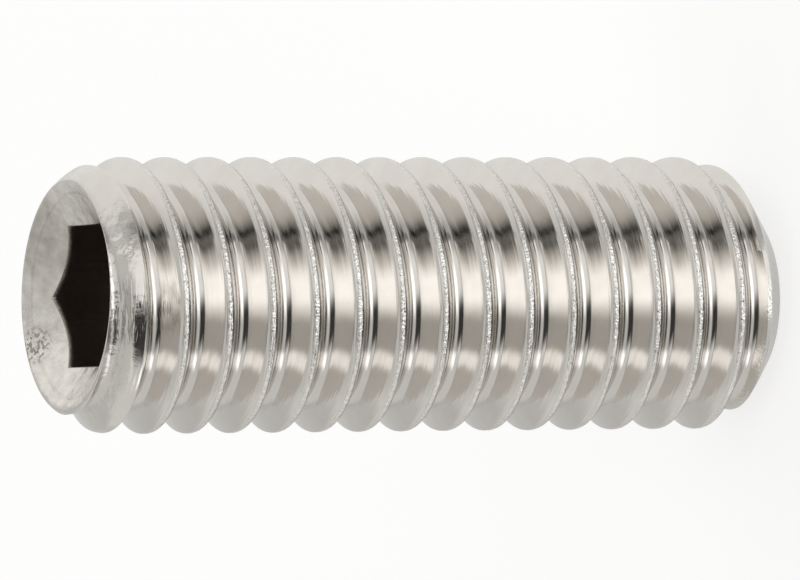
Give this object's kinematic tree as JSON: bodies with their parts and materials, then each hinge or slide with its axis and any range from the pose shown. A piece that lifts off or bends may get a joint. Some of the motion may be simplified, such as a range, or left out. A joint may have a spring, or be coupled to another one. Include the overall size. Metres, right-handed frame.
{
  "type": "set screw",
  "caption": "Headless set screw: fully threaded stainless rod with a hexagon socket in one end and a chamfered flat point at the other.",
  "frame": {"origin": "centre of the flat point's face, which the screw stands on", "axes": "+Z along the screw's axis from the point to the socket, +X square to two of the socket's flats, +Y through two of its corners"},
  "size_m": [0.006, 0.006, 0.016],
  "materials": {
    "stainless_steel": "bright rolled stainless steel, with fine streaks running round the thread flanks and a duller, rougher line along each crest"
  },
  "bodies": {
    "root": {"set_screw": "stainless_steel"}
  },
  "joints": []
}
